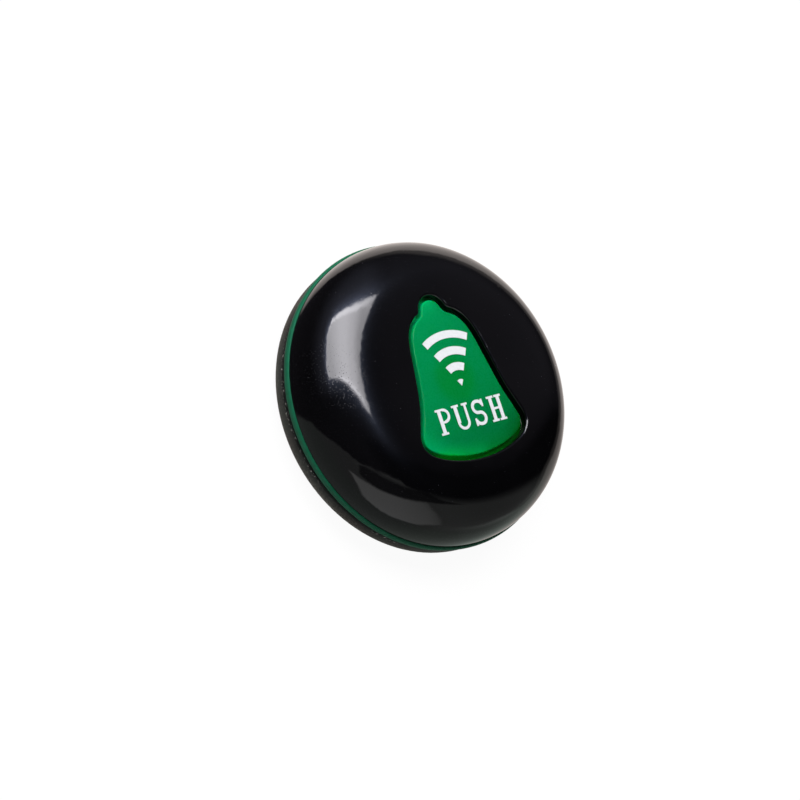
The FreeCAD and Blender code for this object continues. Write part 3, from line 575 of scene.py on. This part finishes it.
def studio_radiance(d):
    """What the part mirrors in each direction: a softbox, its glow, dim near walls and the lit far floor."""
    x, y, z = d[:, 0], d[:, 1], d[:, 2]
    az = np.degrees(np.arctan2(y, x))
    out = np.zeros((len(d), 3))

    def add(v, c):
        out[:] += v[:, None] * np.asarray(c)

    # room: dim, brighter on the far side, dark past the softbox's near edge
    room = 0.036 + 0.050 * (1 - 0.5 * step(y, 0.24, 0.42)) * step(x, 0.40, 0.56) * step(z, 0.05, 0.35) * step(y, -0.08, 0.10) + 0.03 * step(x, 0.55, 0.80) * step(z, 0.25, 0.5) * step(y, -0.12, 0.04)
    room = room * (1 - 0.88 * step(-y, 0.03, 0.12) * step(x, -0.35, 0.1))
    add(room, (1.02, 0.96, 1.16))
    # near wall and near floor
    wall = step(-y - 0.045 * step(z, 0.6, 0.85), 0.34 + 0.055 * step(-x, -0.3, 0.0), 0.53 - 0.10 * step(-x, -0.3, 0.0))
    top = np.interp(z, [-1, -0.75, -0.40, -0.20, 0.04, 0.30, 0.50, 0.64, 0.83, 0.92, 1], [-0.3, -0.2, -0.119, -0.012, 0.105, 0.209, 0.317, 0.416, 0.444, 0.398, 0.39])
    left = step(-y - top, -0.015, 0.02)
    near = np.where(x < 0, left, wall)
    far = step(az, -95.0, -30.0) * step(-az, -100.0, -88.0)
    near = near * (1 - 0.25 * step(x, 0.2, 0.7) * (z > 0))
    dark = step(poly_distance(DARK, d), -0.02, 0.03)
    near = near * (1 - 0.86 * dark)
    g = (0.20 + 0.10 * step(x, -0.35, 0.25)) * near * (1 - far * step(-z, 0.0, 0.2))
    low = step(-z, -0.05, 0.35)
    out[:] += g[:, None] * (np.array([1.0, 1.03, 1.0]) + low[:, None] * np.array([-0.07, 0.03, -0.04]))
    edge = np.exp(-((-y - 0.43) / 0.012) ** 2) * step(z, 0.4, 0.6) * step(-x, -0.05, 0.15)
    add(0.16 * edge, (1, 1, 1))
    panel = step(poly_distance(PANEL, d), -0.03, 0.05)
    add(panel * (0.36 + 0.35 * step(-x, -0.25, 0.45)) * (1 - 0.4 * step(x, -0.02, 0.12)), (1, 1, 1))
    # lit far floor, falling off towards the horizon
    level = np.interp(az, [-180, -90, -75, -50, -35, -24, -10, 0, 11, 17, 24, 33, 44, 54, 64, 73, 80, 87, 180],
                      [0, 0, 0.04, 0.29, 0.50, 0.58, 0.56, 0.78, 0.85, 0.95, 1.0, 1.12, 1.22, 1.17, 0.98, 0.80, 0.55, 0.0, 0])
    cut = np.interp(az, [-90, -50, -36, -30, -20, -10, 0, 11, 17, 24, 33, 44, 54, 64, 73, 80, 90],
                    [0.10, 0.04, -0.12, -0.12, 0.03, -0.10, -0.17, -0.17, -0.10, 0.01, 0.07, 0.05, -0.06, -0.14, -0.32, -0.58, -0.85])
    body = step(cut - z, -0.06, 0.06)
    tail = 0.26 * step(cut + 0.17 - z, -0.07, 0.07) * step(-az, -76.0, -50.0) * (1 - 0.75 * step(-az, 28.0, 42.0))
    rise = body + (1 - body) * tail
    warm = step(az, -40.0, -12.0)
    out[:] += (rise * level)[:, None] * (np.array([0.91, 1.04, 0.95]) + warm[:, None] * np.array([0.14, -0.090, -0.055]))
    # softbox
    s = poly_distance(SOFTBOX, d)
    right = step(x * 0.86 - y * 0.466 - z * 0.2075, -0.20, -0.03)
    soft = step(s, -0.010, 0.016)
    body = 10.4 + 1.3 * step(x, -0.35, 0.05) - 2.4 * right * step(x, 0.1, 0.3)
    body = body * np.interp(x, [-0.57, -0.40, -0.25, -0.10, 0.05, 0.20, 0.30, 0.42], [0.70, 0.74, 0.87, 0.95, 0.92, 0.76, 0.57, 0.60])
    rim = np.exp(-((s - 0.022) / 0.016) ** 2) * step(-y, -0.40, -0.28) * step(-x, -0.26, -0.18) * 4.8
    rim = rim + 4.6 * step(-s, -0.072, -0.062) * step(y, 0.40, 0.50) * step(x, -0.34, -0.26) * step(y * 0.8 + x * 0.6, 0.20, 0.32)
    add(soft * (body + rim), (1.0, 0.985, 1.045))
    off = np.clip(-s, 0, 5)
    fade = (1 - soft) * (1 - 0.75 * step(x, 0.26, 0.50))
    add((0.72 + 0.9 * step(y, 0.35, 0.6)) * np.exp(-off / 0.08) * fade, (0.76, 0.90, 1.34))
    add((0.02 + 0.42 * step(y, 0.2, 0.5)) * np.exp(-off / 0.7) * fade, (0.90, 0.96, 1.28))
    return out


def studio_shell():
    """A large sphere round the stage that only reflections see."""
    nu, nv = 360, 180
    u = np.arange(nu) / nu * 2 * math.pi
    v = np.linspace(-math.pi / 2 + 1e-3, math.pi / 2 - 1e-3, nv + 1)
    uu, vv = np.meshgrid(u, v)
    d = np.stack([np.cos(vv) * np.cos(uu), np.cos(vv) * np.sin(uu), np.sin(vv)], -1).reshape(-1, 3)
    rad = studio_radiance(d)
    me = bpy.data.meshes.new("studio_shell")
    faces = []
    for j in range(nv):
        for i in range(nu):
            k = (i + 1) % nu
            faces.append((j * nu + i, j * nu + k, (j + 1) * nu + k, (j + 1) * nu + i))
    me.from_pydata((d * 8.0).tolist(), [], faces)
    a = me.color_attributes.new(name="radiance", type="FLOAT_COLOR", domain="POINT")
    a.data.foreach_set("color", np.c_[rad, np.ones(len(rad))].astype(np.float32).ravel())
    o = bpy.data.objects.new("studio_shell", me)
    bpy.context.scene.collection.objects.link(o)
    m = bpy.data.materials.new("studio_shell")
    m.use_nodes = True
    t = m.node_tree
    t.nodes.clear()
    at = t.nodes.new("ShaderNodeAttribute")
    at.attribute_name = "radiance"
    em = t.nodes.new("ShaderNodeEmission")
    ou = t.nodes.new("ShaderNodeOutputMaterial")
    t.links.new(at.outputs["Color"], em.inputs[0])
    t.links.new(em.outputs[0], ou.inputs["Surface"])
    m.cycles.emission_sampling = "NONE"
    me.materials.append(m)
    o.visible_camera = False
    o.visible_diffuse = False
    o.visible_shadow = False
    o.visible_transmission = False
    o.visible_volume_scatter = False
    return o


floor()
studio_shell()
card("softbox", [(-0.61, 0.42, 0.67), (0.27, 0.066, 0.96), (0.432, 0.446, 0.784), (-0.25, 0.85, 0.463)], 11.3)

world = bpy.data.worlds.new("studio")
bpy.context.scene.world = world
world.use_nodes = True
wt = world.node_tree
wt.nodes.clear()
wo = wt.nodes.new("ShaderNodeOutputWorld")
mixer = wt.nodes.new("ShaderNodeMixShader")
dim = wt.nodes.new("ShaderNodeBackground")
dim.inputs[0].default_value = (1, 1, 1, 1)
dim.inputs[1].default_value = 0.16
pale = wt.nodes.new("ShaderNodeBackground")
pale.inputs[0].default_value = (1, 1, 1, 1)
pale.inputs[1].default_value = 1.0
lp = wt.nodes.new("ShaderNodeLightPath")
wt.links.new(lp.outputs["Is Camera Ray"], mixer.inputs[0])
wt.links.new(dim.outputs[0], mixer.inputs[1])
wt.links.new(pale.outputs[0], mixer.inputs[2])
wt.links.new(mixer.outputs[0], wo.inputs[0])

cam = bpy.data.cameras.new("camera")
cam.lens, cam.sensor_width = 180.0, 36.0
cam.clip_start, cam.clip_end = 0.01, 20.0
co = bpy.data.objects.new("camera", cam)
bpy.context.scene.collection.objects.link(co)
right, up, back = Vector((0.77702, -0.32984, 0.53612)), Vector((0.20347, 0.93760, 0.28195)), Vector((-0.59567, -0.11000, 0.79566))
mat = Matrix((right, up, back)).transposed().to_4x4()
mat.translation = Vector((-0.45865, -0.08351, 0.61261)) - right * 0.0000955 + up * 0.0000955
co.matrix_world = mat
bpy.context.scene.camera = co
bpy.context.scene.view_settings.view_transform = "Standard"
